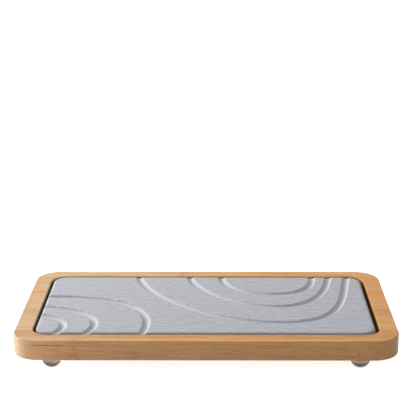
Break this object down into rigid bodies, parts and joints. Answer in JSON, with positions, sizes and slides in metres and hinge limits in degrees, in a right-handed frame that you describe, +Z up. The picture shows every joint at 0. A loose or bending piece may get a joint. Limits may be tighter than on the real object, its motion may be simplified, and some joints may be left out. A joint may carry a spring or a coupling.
{
  "type": "drying tray",
  "caption": "Flat bamboo vanity tray with rounded corners, holding a loose grey absorbent stone slab with curved drain grooves, on small clear domed feet.",
  "frame": {"origin": "on the table under the middle of the tray, at the level of the feet's flats", "axes": "+X along the length to the right, +Y to the back, +Z up"},
  "size_m": [0.3, 0.16, 0.0265],
  "materials": {
    "bamboo": "satin",
    "stone": "matte",
    "clear_rubber": "gloss",
    "adhesive": "matte"
  },
  "bodies": {
    "tray": {"bamboo_tray": "bamboo", "foot_front_left": "clear_rubber", "foot_front_right": "clear_rubber", "foot_rear_left": "clear_rubber", "foot_rear_right": "clear_rubber", "adhesive_front_left": "adhesive", "adhesive_front_right": "adhesive", "adhesive_rear_left": "adhesive", "adhesive_rear_right": "adhesive"},
    "slab": {"stone_slab": "stone"}
  },
  "joints": [
    {"name": "slab_lift", "type": "slide", "parent": "tray", "child": "slab", "axis": [0, 0, 1], "range_m": [0, 0.03]}
  ]
}
